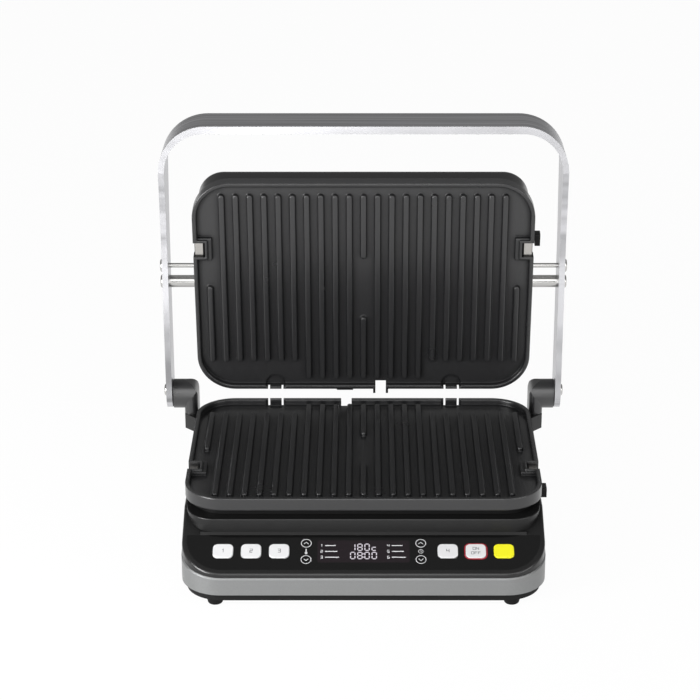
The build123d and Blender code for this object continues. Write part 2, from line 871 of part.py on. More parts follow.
def riser_outline(inset):
    """Plan of the raised block behind the deck, with its two front corners rounded."""
    half_width = base_half_width - edge_round - inset
    with BuildSketch() as shape:
        add(box_sketch((-half_width, riser_y + inset), (half_width, rim_start_y + riser_corner)))
        fillet(shape.vertices().group_by(Axis.Y)[0], riser_corner - inset)
    return shape.sketch


def housing_tongue():
    """Tongue of the top housing, inside the silver band."""
    with BuildPart() as tongue:
        with BuildSketch(Plane.XY.offset(cover_bottom)):
            add(base_outline(tongue_inset))
        extrude(amount=rim_z)
        add(across(housing_side(-lip_depth)), mode=Mode.INTERSECT)
    return tongue.part


def housing_void():
    """Space under the top housing's roof."""
    with BuildPart() as space:
        with BuildSketch(Plane.XY.offset(cover_bottom)):
            add(base_outline(void_inset))
        extrude(amount=rim_z)
        add(across(housing_void_side()), mode=Mode.INTERSECT)
    return space.part


def panel_body():
    """Control panel's slab, flush with the deck, before its key and window openings."""
    back = riser_y - panel_inset / 2
    front = base_front - cut_over
    rise = panel_thick / cos(deck_angle)
    with BuildPart() as slab:
        with BuildSketch(Plane.XY.offset(cover_bottom)):
            add(base_outline(panel_inset))
        extrude(amount=rim_z)
        with BuildSketch(Plane.YZ):
            with BuildLine():
                Polyline(
                    (front, deck_height(front)),
                    (back, deck_height(back)),
                    (back, deck_height(back) - rise),
                    (front, deck_height(front) - rise),
                    close=True,
                )
            make_face()
        extrude(amount=base_half_width, both=True, mode=Mode.INTERSECT)
    return slab.part


def ear_outline(side):
    """Plan of a hinge ear, which flares from the base's side at 45 degrees."""
    root = base_half_width - base_back_corner
    outer = base_half_width + ear_out
    wall_end = base_back - seat_gap - base_back_corner / 2
    points = [
        (root, pivot_y - ear_front_length),
        (base_half_width, pivot_y - ear_front_length),
        (outer, pivot_y - ear_front_length + ear_out),
        (outer, pivot_y + elbow_radius),
        (ear_inner, pivot_y + elbow_radius),
        (ear_inner, wall_end),
        (root, wall_end),
    ]
    with BuildSketch() as shape:
        with BuildLine():
            Polyline(*[(side * x, y) for x, y in points], close=True)
        make_face()
    return shape.sketch


ear_screw_places = [(side * (elbow_inner + elbow_post / 2), pivot_y) for side in (-1, 1)]


def bead_side():
    """Side view of the bead along the foot of the raised block."""
    start = riser_y - panel_inset / 2
    top = deck_height(start) + bead_height
    with BuildSketch() as shape:
        with BuildLine():
            Polyline(
                (start, deck_height(start)),
                (riser_y, top),
                (start + bead_height / tan(deck_angle), top),
                close=True,
            )
        make_face()
    return shape.sketch


# Black top housing: sloping deck, riser, rim, collar under the plate and hinge ears
with BuildPart() as top_housing:
    with BuildSketch(Plane.XY.offset(cover_bottom)):
        add(base_outline(0))
    extrude(amount=rim_z)
    add(across(housing_side(band_gap)), mode=Mode.INTERSECT)
    top_faces = top_housing.faces().filter_by(lambda face: face.normal_at().Z > cos(deck_angle) / 2)
    fold = [edge for edge in top_faces[0].edges() if edge in top_faces[1].edges()]
    fillet([edge for edge in top_faces.edges() if edge not in fold], edge_round)
    # Raised block behind the deck
    with BuildSketch(Plane.XY.offset(deck_front_z)):
        add(riser_outline(0))
    extrude(amount=rim_z - deck_front_z)
    riser_top = top_housing.edges().filter_by(lambda edge: abs(edge.center().Z - rim_z) < pin_clearance)
    fillet([edge for edge in riser_top if edge.center().Y < rim_start_y - edge_round], riser_round)
    with BuildSketch(Plane.YZ):
        add(bead_side())
    extrude(amount=base_half_width - edge_round - riser_corner / 2, both=True)
    add(housing_tongue())
    add(housing_void(), mode=Mode.SUBTRACT)
    with BuildSketch(Plane.XY.offset(deck_front_z)):
        add(riser_outline(void_inset))
    extrude(amount=rim_z - deck_front_z - housing_wall, mode=Mode.SUBTRACT)
    # Block for the latch at the right, and the collar that carries the pan
    with BuildSketch(lower_frame.offset(-latch_block_bottom)):
        add(latch_block_sketch(1))
    extrude(amount=latch_block_bottom - rim_drop)
    with BuildSketch(lower_frame.offset(-rim_drop - housing_wall)):
        add(plate_outline(wall_inset))
    extrude(amount=rim_drop + housing_wall - wall_top_drop)
    with BuildSketch(lower_frame.offset(-latch_block_bottom)):
        add(plate_outline(collar_inset))
    extrude(amount=latch_block_bottom, mode=Mode.SUBTRACT)
    add(cut_latch_pocket(lower_frame, 1), mode=Mode.SUBTRACT)
    # Chute that leads the fat from the spout down into the tray
    with BuildSketch(Plane.XY.offset(band_top)):
        chute_front = collar_back_y + cut_over
        add(box_sketch((-chute_half_width, chute_front), (chute_half_width, chute_front + chute_length)))
    extrude(amount=rim_z - band_top, mode=Mode.SUBTRACT)
    # Hinge ears with their screw holes
    for side in (-1, 1):
        with BuildSketch(Plane.XY.offset(ear_top - ear_height)):
            add(ear_outline(side))
        extrude(amount=ear_height)
    with BuildSketch(Plane.XY.offset(ear_top - ear_height)):
        with Locations(*ear_screw_places):
            Circle(elbow_screw_radius)
    extrude(amount=ear_height, mode=Mode.SUBTRACT)
    # Bed for the panel, key and display openings, and posts for the control board
    add(panel_body(), mode=Mode.SUBTRACT)
    with BuildSketch(deck_frame):
        with Locations(*[(x, key_up) for x in key_places]):
            add(rounded(key_size[0] + 2 * slide_gap, key_size[1] + 2 * slide_gap, key_corner))
        with Locations((0, key_up)):
            Rectangle(display_size[0] + 2 * slide_gap, display_size[1] + 2 * slide_gap)
    extrude(amount=-board_drop, mode=Mode.SUBTRACT)
    with BuildSketch(deck_frame.offset(-board_drop)):
        with Locations((0, key_up)):
            with GridLocations(
                board_size[0] - 2 * board_post_radius, board_size[1] - 2 * board_post_radius, 2, 2
            ):
                Circle(board_post_radius)
    extrude(amount=board_drop - panel_thick)

with BuildPart() as control_panel:
    add(panel_body())
    with BuildSketch(deck_frame):
        with Locations(*[(x, key_up) for x in key_places]):
            add(rounded(key_size[0] + 2 * slide_gap, key_size[1] + 2 * slide_gap, key_corner))
        with Locations((0, key_up)):
            RectangleRounded(*window_size, window_corner)
    extrude(amount=-2 * panel_thick, mode=Mode.SUBTRACT)

with BuildPart() as display_window:
    with BuildSketch(deck_frame):
        with Locations((0, key_up)):
            RectangleRounded(*window_size, window_corner)
    extrude(amount=-panel_thick)

with BuildPart() as control_board:
    with BuildSketch(deck_frame.offset(-board_drop)):
        with Locations((0, key_up)):
            Rectangle(*board_size)
    extrude(amount=-board_thick)

with BuildPart() as display_module:
    with BuildSketch(deck_frame.offset(-board_drop)):
        with Locations((0, key_up)):
            Rectangle(*display_size)
    extrude(amount=board_drop - panel_thick - seat_gap)

with BuildPart() as key_switches:
    with BuildSketch(deck_frame.offset(-board_drop)):
        with Locations(*[(x, key_up) for x in key_places]):
            Rectangle(switch_size, switch_size)
    extrude(amount=board_drop + key_proud - key_depth - key_travel - pin_clearance)


def key(x):
    """One push key, its top edge softened."""
    with BuildPart() as cap:
        with BuildSketch(deck_frame.offset(key_proud - key_depth)):
            with Locations((x, key_up)):
                RectangleRounded(*key_size, key_corner)
        extrude(amount=key_depth)
        top = cap.faces().sort_by(Axis(deck_frame.origin, deck_frame.z_dir))[-1]
        fillet(top.edges(), key_round)
    return cap.part


# Inside the base: power board on its stand-offs
with BuildPart() as power_board:
    board_low = cover_bottom + cover_floor + stand_off
    with BuildSketch(Plane.XY.offset(board_low)):
        with Locations(power_board_place):
            Rectangle(*power_board_size)
    extrude(amount=board_thick)
    with BuildSketch(Plane.XY.offset(board_low + board_thick)):
        with Locations(power_board_place):
            with GridLocations(2 * relay_size[0], 2 * relay_size[1], 2, 2):
                Rectangle(relay_size[0], relay_size[1])
    extrude(amount=relay_size[2])

# Gland in the back wall, where a cord would enter
with BuildPart() as cord_gland:
    with BuildSketch(Plane.XZ.offset(-base_back)):
        with Locations((gland_x, gland_z)):
            Circle(gland_flange)
    extrude(amount=-gland_out)
    gland_rim = cord_gland.faces().sort_by(Axis.Y)[-1].edges()
    fillet(gland_rim, head_round)
    with BuildSketch(Plane.XZ.offset(-base_back)):
        with Locations((gland_x, gland_z)):
            Circle(gland_radius)
    extrude(amount=band_wall)
    with BuildSketch(Plane.XZ.offset(-base_back - gland_out)):
        with Locations((gland_x, gland_z)):
            Circle(gland_bore)
    extrude(amount=gland_out + band_wall, mode=Mode.SUBTRACT)

# Drip tray that slides out at the back
with BuildPart() as drip_tray:
    with BuildSketch(Plane.XY.offset(tray_bottom)) as tray_plan:
        add(box_sketch((-tray_half_width, tray_front), (tray_half_width, tray_back)))
        fillet(tray_plan.vertices().group_by(Axis.Y)[0], tray_corner)
    extrude(amount=tray_height)
    with BuildSketch(Plane.XY.offset(tray_bottom + tray_wall)) as tray_hollow:
        tray_inner = tray_half_width - tray_wall
        add(box_sketch((-tray_inner, tray_front + tray_wall), (tray_inner, tray_back - tray_wall)))
        fillet(tray_hollow.vertices().group_by(Axis.Y)[0], tray_corner - tray_wall)
    extrude(amount=tray_height, mode=Mode.SUBTRACT)
    # Pull lip along the lower edge of the tray's back
    with BuildSketch(Plane.XY.offset(tray_bottom)):
        add(box_sketch((-tray_lip_half_width, tray_back), (tray_lip_half_width, tray_back + tray_lip)))
    extrude(amount=tray_wall)


def elbow(side):
    """Hinge elbow: a post on the ear that carries the barrel of the bail's pivot."""
    inner = side * elbow_inner
    with BuildPart() as body:
        # Post with round edges that stands on the ear, its top as round as the barrel
        middle = pivot_z - elbow_sink
        with BuildSketch(Plane.XY.offset(ear_top)):
            with Locations((inner + side * elbow_post / 2, pivot_y)):
                RectangleRounded(elbow_post, 2 * elbow_radius, elbow_post_round)
        extrude(amount=middle + elbow_radius - ear_top)
        with BuildSketch(Plane.YZ.offset(inner)):
            with Locations((pivot_y, middle)):
                Circle(elbow_radius)
            add(box_sketch((pivot_y - elbow_radius, ear_top), (pivot_y + elbow_radius, middle)))
        extrude(amount=side * elbow_post, mode=Mode.INTERSECT)
        # Round barrel along the pivot
        with BuildSketch(Plane.YZ.offset(inner + side * elbow_post / 2)):
            with Locations((pivot_y, middle)):
                Circle(elbow_radius)
        extrude(amount=side * (elbow_width - elbow_post / 2))
        # The barrel bends down into the post in a round corner, seen from the front
        with BuildSketch(Plane.XZ.offset(-pivot_y)) as front_view:
            add(box_sketch((inner, ear_top), (inner + side * elbow_width, middle + elbow_radius)))
            top_corners = front_view.vertices().group_by(Axis.Y)[-1].sort_by(Axis.X)
            fillet(top_corners[0 if side > 0 else -1], elbow_corner)
        extrude(amount=elbow_radius, both=True, mode=Mode.INTERSECT)
        with BuildSketch(Plane.YZ.offset(inner + side * elbow_width)):
            with Locations((pivot_y, pivot_z)):
                Circle(pivot_bolt_radius)
        extrude(amount=-side * pivot_bolt_depth, mode=Mode.SUBTRACT)
        with BuildSketch(Plane.XY.offset(ear_top)):
            with Locations((side * (elbow_inner + elbow_post / 2), pivot_y)):
                Circle(elbow_screw_radius)
        extrude(amount=elbow_screw_depth, mode=Mode.SUBTRACT)
    return body.part


with BuildPart() as elbow_screws:
    with BuildSketch(Plane.XY.offset(ear_top - ear_height)):
        with Locations(*ear_screw_places):
            Circle(elbow_screw_radius)
    extrude(amount=ear_height + elbow_screw_depth)
    with BuildSketch(Plane.XY.offset(ear_top - ear_height)):
        with Locations(*ear_screw_places):
            Circle(screw_head_radius)
    extrude(amount=-screw_head)

with BuildPart() as elbow_washers:
    for side in (-1, 1):
        with BuildSketch(Plane.YZ.offset(side * elbow_face)):
            with Locations((pivot_y, pivot_z)):
                Circle(washer_radius)
                Circle(pivot_bolt_radius, mode=Mode.SUBTRACT)
        extrude(amount=side * (arm_inner - elbow_face - turn_play))

with BuildPart() as bail_pivot_bolts:
    for side in (-1, 1):
        head_start = side * (bail_half_width + turn_play)
        with BuildSketch(Plane.YZ.offset(side * (elbow_face - pivot_bolt_depth))):
            with Locations((pivot_y, pivot_z)):
                Circle(pivot_bolt_radius)
        extrude(amount=side * (bail_half_width + turn_play - elbow_face + pivot_bolt_depth))
        with BuildSketch(Plane.YZ.offset(head_start)):
            with Locations((pivot_y, pivot_z)):
                Circle(pivot_head_radius)
        extrude(amount=side * pivot_head)
    outer_rims = bail_pivot_bolts.edges().filter_by(GeomType.CIRCLE).group_by(Axis.X)
    fillet(outer_rims[0] + outer_rims[-1], head_round)

# Bail handle: a flat bar bent into an arch, deeper along the grip than at its ends
arm_taper_top = bail_height - bail_corner
with BuildPart() as handle_bail:
    with BuildSketch(on(bail_frame, Plane.XZ)) as bail_front:
        add(box_sketch((-bail_half_width, -arm_radius), (bail_half_width, bail_height)))
        fillet(bail_front.vertices().group_by(Axis.Y)[-1], bail_corner)
        with BuildSketch(mode=Mode.SUBTRACT) as bail_inside:
            add(box_sketch((-arm_inner, -arm_radius), (arm_inner, bail_height - bail_grip_thick)))
            fillet(bail_inside.vertices().group_by(Axis.Y)[-1], bail_corner - bail_grip_thick)
    extrude(amount=grip_depth, both=True)
    with BuildSketch(on(bail_frame, Plane.YZ)):
        Circle(arm_radius)
        with BuildLine():
            Polyline(
                (-arm_radius, 0),
                (arm_radius, 0),
                (arm_radius, grip_taper_start),
                (grip_depth / 2, arm_taper_top),
                (grip_depth / 2, bail_height),
                (-grip_depth / 2, bail_height),
                (-grip_depth / 2, arm_taper_top),
                (-arm_radius, grip_taper_start),
                close=True,
            )
        make_face()
    extrude(amount=bail_half_width, both=True, mode=Mode.INTERSECT)
    with BuildSketch(on(bail_frame, Plane.YZ)):
        Circle(pivot_bolt_radius + pin_clearance)
        with Locations((0, lid_pin_up)):
            Circle(lid_pin_neck)
        with Locations((0, lid_pin_up + stop_pin_up)):
            Circle(stop_pin_radius)
    extrude(amount=bail_half_width, both=True, mode=Mode.SUBTRACT)


def bail_pins(up, radius, neck, head, inner_end):
    """Pair of pins fixed in the bail's arms: body, neck through the arm and domed head."""
    with BuildPart() as pins:
        for side in (-1, 1):
            for start, end, size in (
                (inner_end, arm_inner, radius),
                (arm_inner, bail_half_width, neck),
                (bail_half_width, bail_half_width + pin_head_height, head),
            ):
                with BuildSketch(on(bail_frame, Plane.YZ.offset(side * start))):
                    with Locations((0, up)):
                        Circle(size)
                extrude(amount=side * (end - start))
        rims = pins.edges().filter_by(GeomType.CIRCLE).group_by(Axis.X)
        fillet(rims[0] + rims[-1], head_round)
    return pins.part


lid_wall = half_plate - lid_inset
pin_end = lid_wall - lid_pin_depth + seat_gap
lid_pivot_pins = bail_pins(lid_pin_up, lid_pin_radius, lid_pin_neck, lid_pin_head, pin_end)
lid_stop_pins = bail_pins(
    lid_pin_up + stop_pin_up, stop_pin_radius, stop_pin_radius, stop_pin_head, pin_end
)


def stop_slot():
    """Side view of the curved slot about the lid's axis in which a stop pin travels."""
    middle = (lid_pin_y, -lid_pin_back)
    half_slot = stop_pin_radius + seat_gap
    start = 180 + lid_tilt - tilt_back
    turn = tilt_back + tilt_forward
    ends = [
        (
            lid_pin_y + stop_pin_up * cos(radians(angle)),
            stop_pin_up * sin(radians(angle)) - lid_pin_back,
        )
        for angle in (start, start + turn)
    ]
    with BuildSketch() as slot:
        with BuildLine():
            CenterArc(middle, stop_pin_up + half_slot, start, turn)
            CenterArc(ends[1], half_slot, start + turn, 180)
            CenterArc(middle, stop_pin_up - half_slot, start, turn)
            CenterArc(ends[0], half_slot, start + 180, 180)
        make_face()
    return slot.sketch


def lid_form(wall, depth, back_round):
    """Body of the lid behind its plate, drawn in by `wall`, crowned and round behind."""
    inset = lid_inset + wall
    size = (plate_width - 2 * inset, plate_depth - 2 * inset)
    with BuildPart() as form:
        with BuildSketch(upper_frame.offset(-wall_top_drop)):
            add(rounded(*size, lid_corner - wall, (0, plate_depth / 2)))
        extrude(amount=wall_top_drop - depth)
        with BuildSketch(on(upper_frame, Plane.YZ)):
            with BuildLine():
                edge = lid_crown - depth
                ThreePointArc((0, edge), (plate_depth / 2, -depth), (plate_depth, edge))
                Polyline((plate_depth, edge), (plate_depth, 0), (0, 0), (0, edge))
            make_face()
        extrude(amount=half_plate, both=True, mode=Mode.INTERSECT)
        back_face = form.faces().sort_by(Axis(upper_frame.origin, upper_frame.z_dir))[0]
        fillet(back_face.edges(), back_round)
    return form.part


# Lid housing: a shell with a crowned back, the bearings of its pins and its latch blocks
with BuildPart() as lid_housing:
    add(lid_form(0, lid_depth, lid_back_round))
    add(
        lid_form(housing_wall, lid_depth - housing_wall, lid_back_round - housing_wall),
        mode=Mode.SUBTRACT,
    )
    # Bearings for the pins, inside the walls
    for side in (-1, 1):
        with BuildSketch(on(upper_frame, Plane.YZ.offset(side * lid_wall))):
            with Locations((lid_pin_y - stop_pin_up / 2, -lid_pin_back)):
                SlotOverall(stop_pin_up + 2 * lid_boss_radius, 2 * lid_boss_radius)
        extrude(amount=-side * lid_pin_depth)
    # Latch blocks outside the walls, and the walls stepped in behind the clip and the catch
    with BuildSketch(upper_frame.offset(-latch_block_bottom)):
        add(latch_block_sketch(-1))
        add(latch_block_sketch(1))
    extrude(amount=latch_block_bottom - rim_drop)
    with BuildSketch(upper_frame.offset(-rim_drop)):
        add(latch_block_sketch(-1))
        add(latch_block_sketch(1))
        add(plate_outline(lid_inset), mode=Mode.INTERSECT)
    extrude(amount=rim_drop - wall_top_drop)
    with BuildSketch(upper_frame.offset(-rim_drop)):
        add(latch_pocket_sketch(-1))
        add(latch_pocket_sketch(1))
    extrude(amount=rim_drop - wall_top_drop, mode=Mode.SUBTRACT)
    add(cut_latch_pocket(upper_frame, -1), mode=Mode.SUBTRACT)
    # The walls' edge is cut back at the corners, where the plate's skirt comes down beside it
    with BuildSketch(upper_frame.offset(-wall_top_drop)):
        add(plate_outline(0))
        add(plate_outline(skirt_wall + seat_gap), mode=Mode.SUBTRACT)
    extrude(amount=wall_top_drop - skirt_depth - seat_gap, mode=Mode.SUBTRACT)
    with BuildSketch(on(upper_frame, Plane.YZ)):
        with Locations((lid_pin_y, -lid_pin_back)):
            Circle(lid_pin_radius + pin_clearance)
    extrude(amount=half_plate, both=True, mode=Mode.SUBTRACT)
    # Curved slots in which the stop pins travel as the lid tilts
    with BuildSketch(on(upper_frame, Plane.YZ)):
        add(stop_slot())
    extrude(amount=half_plate, both=True, mode=Mode.SUBTRACT)

key_names = [
    "key_left_outer",
    "key_left_middle",
    "key_left_inner",
    "key_right_inner",
    "key_right_middle",
    "key_right_outer",
]
pieces = {
    "base_cover": base_cover.part,
    "rubber_feet": rubber_feet.part,
    "cover_screws": cover_screws.part,
    "lower_shell": lower_shell.part,
    "top_housing": top_housing.part,
    "control_panel": control_panel.part,
    "display_window": display_window.part,
    "display_module": display_module.part,
    "control_board": control_board.part,
    "key_switches": key_switches.part,
    "power_board": power_board.part,
    "cord_gland": cord_gland.part,
    "drip_tray": drip_tray.part,
    "hinge_elbow_left": elbow(-1),
    "hinge_elbow_right": elbow(1),
    "elbow_screws": elbow_screws.part,
    "elbow_washers": elbow_washers.part,
    "bail_pivot_bolts": bail_pivot_bolts.part,
    "handle_bail": handle_bail.part,
    "lid_pivot_pins": lid_pivot_pins,
    "lid_stop_pins": lid_stop_pins,
    "lid_housing": lid_housing.part,
}
levels = (("lower", lower_frame, 1, wall_inset), ("upper", upper_frame, -1, lid_inset))
for level, frame, side, inset in levels:
    pieces[level + "_plate"] = cooking_plate(frame)
    pieces[level + "_reflector"] = reflector(frame, inset)
    pieces[level + "_heating_element"] = heating_element(frame)
    pieces[level + "_element_rests"] = element_rests(frame)
    pieces[level + "_heat_probe"] = heat_probe(frame)
    pieces[level + "_latch_clip"] = latch_clip(frame, side)
    pieces[level + "_latch_pin"] = latch_pin(frame, side)
    pieces[level + "_release_button"] = release_button(frame, side)
    pieces[level + "_fixed_catch"] = fixed_catch(frame, -side)
for name, x in zip(key_names, key_places):
    pieces[name] = key(x)

os.makedirs("parts", exist_ok=True)
for name, piece in pieces.items():
    piece.label = name
    export_step(piece, f"parts/{name}.step")
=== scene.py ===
# %% [markdown]
# An electric contact grill, standing open.
#
# The real thing is a heated base with a key panel at its front, a heated lid, and a tall arched
# handle that carries the lid between its arms. The solid pieces come from a CAD model, which this
# script loads as a fixed frame. What is left for Blender is what the eye reads as real: the
# finishes, the printed marks, the lit figures, and the light of a small studio.

# %% The frame
import math

import bpy
import numpy as np
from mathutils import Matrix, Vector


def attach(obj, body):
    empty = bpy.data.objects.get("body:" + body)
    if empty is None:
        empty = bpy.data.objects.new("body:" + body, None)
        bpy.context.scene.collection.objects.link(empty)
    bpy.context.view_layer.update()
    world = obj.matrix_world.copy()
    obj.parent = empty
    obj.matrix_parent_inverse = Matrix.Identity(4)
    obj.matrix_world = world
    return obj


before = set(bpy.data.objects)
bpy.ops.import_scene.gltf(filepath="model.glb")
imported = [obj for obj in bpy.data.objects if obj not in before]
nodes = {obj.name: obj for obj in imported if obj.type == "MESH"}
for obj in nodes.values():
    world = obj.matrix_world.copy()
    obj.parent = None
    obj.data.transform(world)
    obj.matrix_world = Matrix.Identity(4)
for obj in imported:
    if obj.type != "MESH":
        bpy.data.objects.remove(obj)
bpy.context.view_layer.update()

mm = 0.001

# %% [markdown]
# The camera comes first, because every finish is judged through it. The photograph was taken from
# straight in front, a long way off, looking down at the grill by about 23 degrees. The place and the
# focal length below were worked out from the plates' known size and their outline in the picture.
# The lens is shifted a little to the side, as the grill stands right of the middle of the picture.

# %% The camera
picture_px = 700
focal_px = 2192.4
middle_px = 363.5
sensor_mm = 36.0
look_down = 22.58
camera_place = (0.0, -1728.2 * mm, 889.1 * mm)


def new_object(name, data):
    """An object in the scene, at the origin and unturned."""
    made = bpy.data.objects.new(name, data)
    bpy.context.scene.collection.objects.link(made)
    return made


camera_data = bpy.data.cameras.new("studio_camera")
camera_data.sensor_width = sensor_mm
camera_data.lens = sensor_mm * focal_px / picture_px
camera_data.shift_x = (picture_px / 2 - middle_px) / picture_px
camera = new_object("studio_camera", camera_data)
camera.location = camera_place
camera.rotation_euler = (math.radians(90.0 - look_down), 0.0, 0.0)
bpy.context.scene.camera = camera

bpy.context.scene.view_settings.view_transform = "Standard"

print("lens", round(camera_data.lens, 2), "mm, shift", round(camera_data.shift_x, 4))

# %% [markdown]
# A few helpers serve every finish. Screen colours are written as sRGB hex, and Blender mixes light
# in linear values, so one function turns the first into the second. Another adds one node to a
# material, gives it its settings, and links its inputs. The rest start a finish, put it on pieces of
# the CAD model, and work out a texture's scale or a node's ranges.

# %% Helpers for materials
def linear(code):
    """sRGB hex to linear RGBA: v / 12.92 in the dark toe, else ((v + 0.055) / 1.055) to the 2.4."""
    values = np.array([int(code[i:i + 2], 16) for i in (1, 3, 5)]) / 255.0
    toe = values / 12.92
    curve = ((values + 0.055) / 1.055) ** 2.4
    return (*np.where(values <= 0.04045, toe, curve).tolist(), 1.0)


def add_node(tree, kind, settings=None, links=None):
    """Adds a node. A setting is an input's value or a property, and a link feeds an input."""
    made = tree.nodes.new(kind)
    for name, value in (settings or {}).items():
        if isinstance(name, int) or name in made.inputs:
            made.inputs[name].default_value = value
        else:
            setattr(made, name, value)
    for name, source in (links or {}).items():
        tree.links.new(source, made.inputs[name])
    return made


def inside(material):
    """A finish's node tree, and the shader in it."""
    tree = material.node_tree
    return tree, tree.nodes["Principled BSDF"]


def new_finish(name, colour, roughness, metallic=0.0, **more):
    """A material with one Principled shader. In `more`, _ stands for a space in a socket's name."""
    made = bpy.data.materials.new(name)
    made.use_nodes = True
    tree, shader = inside(made)
    shader.inputs["Base Color"].default_value = linear(colour)
    shader.inputs["Roughness"].default_value = roughness
    shader.inputs["Metallic"].default_value = metallic
    for socket, value in more.items():
        shader.inputs[socket.replace("_", " ")].default_value = value
    return made


def put_on(material, *names):
    """Gives CAD pieces a finish by filling their material slots."""
    for name in names:
        for slot in nodes[name].material_slots:
            slot.material = material
    print(material.name, "on", ", ".join(names))


def per_metre(size_mm):
    """A texture's scale from the size of its grain: grains in a metre."""
    return 1.0 / (size_mm * mm)


def ranges(old, new):
    """A Map Range node's settings, which carry one range of values over to another."""
    return {"From Min": old[0], "From Max": old[1], "To Min": new[0], "To Max": new[1]}


# A Mix node's colour sockets go by number: its share, its two colours, and what comes out
mix_share, mix_first, mix_second, mix_out = 0, 6, 7, 2

# %% [markdown]
# The two cooking plates are die-cast aluminium under a sprayed non-stick coating, which is a
# fluoropolymer baked on at about 400 degrees. It gives the eye a near black that isn't quite matt:
# the ribs' shoulders carry a soft line of light, and the floor shows as a grey sheen, which drifts a
# little from place to place, as the spray does. Cast edges are never sharp, and the coat rounds them
# further, so the shader turns the normal softly over about two millimetres at each edge. The feet of
# the ribs carry painted shade: where less of the room is open around them their gloss is cut, so
# they are darker than the open faces. The sprayed coat has a fine orange peel. The real one is about
# half a millimetre across, and it is drawn twice as coarse, because anything finer is lost in a
# picture of this size.

# %% Finish: non-stick coated casting
cast_edge_mm = 1.9
foot_reach_mm = 6.0
foot_openness = (0.45, 0.95)
coat_gloss = (0.1, 0.8)
coat_cloud_mm = 45.0
coat_roughness = (0.22, 0.3)
coat_peel_mm = 1.1
peel_depth_mm = 0.05
peel_strength = 0.12


def dull_where_closed(material, reach_mm, openness, gloss):
    """Painted shade: gloss from the share of a point's surroundings that is open air within a reach.
    It goes from its first value to its second as that share goes over the range of openness, so
    hollows and corners turn darker."""
    tree, shader = inside(material)
    air = add_node(tree, "ShaderNodeAmbientOcclusion", {"Distance": reach_mm * mm, "samples": 8})
    level = add_node(tree, "ShaderNodeMapRange", ranges(openness, gloss),
                     {"Value": air.outputs["AO"]})
    tree.links.new(level.outputs["Result"], shader.inputs["Specular IOR Level"])


coated_casting = new_finish("non_stick_coated_casting", "#171718", 0.3, IOR=1.5)
tree, shader = inside(coated_casting)
place = add_node(tree, "ShaderNodeTexCoord")
cloud = add_node(tree, "ShaderNodeTexNoise", {"Scale": per_metre(coat_cloud_mm), "Detail": 3.0},
                 {"Vector": place.outputs["Object"]})
sheen = add_node(tree, "ShaderNodeMapRange", ranges((0.0, 1.0), coat_roughness),
                 {"Value": cloud.outputs["Fac"]})
tree.links.new(sheen.outputs["Result"], shader.inputs["Roughness"])
peel = add_node(tree, "ShaderNodeTexNoise", {"Scale": per_metre(coat_peel_mm), "Detail": 2.0},
                {"Vector": place.outputs["Object"]})
soft_edge = add_node(tree, "ShaderNodeBevel", {"Radius": cast_edge_mm * mm, "samples": 6})
bump = add_node(tree, "ShaderNodeBump",
                {"Strength": peel_strength, "Distance": peel_depth_mm * mm},
                {"Height": peel.outputs["Fac"], "Normal": soft_edge.outputs["Normal"]})
tree.links.new(bump.outputs["Normal"], shader.inputs["Normal"])
# Painted shade: the gloss is cut where the surroundings are closed in, so the rib feet turn darker
dull_where_closed(coated_casting, foot_reach_mm, foot_openness, coat_gloss)
put_on(coated_casting, "lower_plate", "upper_plate")

# %% [markdown]
# The housings, the drip tray, the cord's gland and the release buttons are moulded in black
# glass-filled nylon, which stands the heat near the plates. The mould has a fine even grain, which
# the plastic copies, so open faces carry a satin sheen. The grain is drawn some three times as
# coarse as the real one, or it wouldn't show. Steps and corners carry painted shade: the gloss falls
# where the surface is closed in, so they turn darker than the open faces.

# %% Finish: moulded black nylon
mould_grain_mm = 0.9
corner_reach_mm = 25.0
corner_openness = (0.68, 1.0)
nylon_gloss = (0.1, 0.45)


def moulded_grain(material, grain_mm, depth_mm, strength):
    """The grain of a mould: a noise with the grain's size lifts and sinks the surface."""
    tree, shader = inside(material)
    place = add_node(tree, "ShaderNodeTexCoord")
    grain = add_node(tree, "ShaderNodeTexNoise", {"Scale": per_metre(grain_mm), "Detail": 2.0},
                     {"Vector": place.outputs["Object"]})
    bump = add_node(tree, "ShaderNodeBump", {"Strength": strength, "Distance": depth_mm * mm},
                    {"Height": grain.outputs["Fac"]})
    tree.links.new(bump.outputs["Normal"], shader.inputs["Normal"])


black_nylon = new_finish("moulded_black_nylon", "#161616", 0.27, IOR=1.5)
moulded_grain(black_nylon, mould_grain_mm, depth_mm=0.04, strength=0.15)
# Painted shade: the gloss is cut in steps and corners, so they turn darker
dull_where_closed(black_nylon, corner_reach_mm, corner_openness, nylon_gloss)
put_on(black_nylon, "top_housing", "lid_housing", "drip_tray", "lower_release_button",
       "upper_release_button", "cord_gland")

# %% [markdown]
# The hinge elbows carry the whole lid. They are zinc die castings, tumbled smooth and sprayed with a
# black enamel that shines more than the plastic beside it, so a broad soft light runs along each.

# %% Finish: enamelled casting
black_enamel = new_finish("enamelled_zinc_casting", "#1b1b1c", 0.3, IOR=1.75)
put_on(black_enamel, "hinge_elbow_left", "hinge_elbow_right", "elbow_washers")

# %% [markdown]
# The panel is a sheet of hard-coated polycarbonate, printed black on its back, so its front is as
# smooth as glass and its black is deep. The window is the same sheet left clear, in a smoked tone
# that hides all but lit figures.

# %% Finishes: panel and window
panel_sheet = new_finish("back_printed_polycarbonate", "#060606", 0.08, IOR=1.55,
                         Specular_IOR_Level=0.4)
put_on(panel_sheet, "control_panel")

smoked_window = new_finish("smoked_polycarbonate", "#130b10", 0.05, IOR=1.55)
put_on(smoked_window, "display_window")

# %% [markdown]
# The band round the base is moulded in ABS and sprayed with an aluminium-flake paint under a satin
# lacquer. Flakes make it bright where it faces the light and darker where it turns away, which a
# mostly metallic shader gives. The flakes themselves are far too fine to see, so a faint speckle
# about a millimetre across stands for their clusters.

# %% Finish: silver paint
flake_mm = 0.8

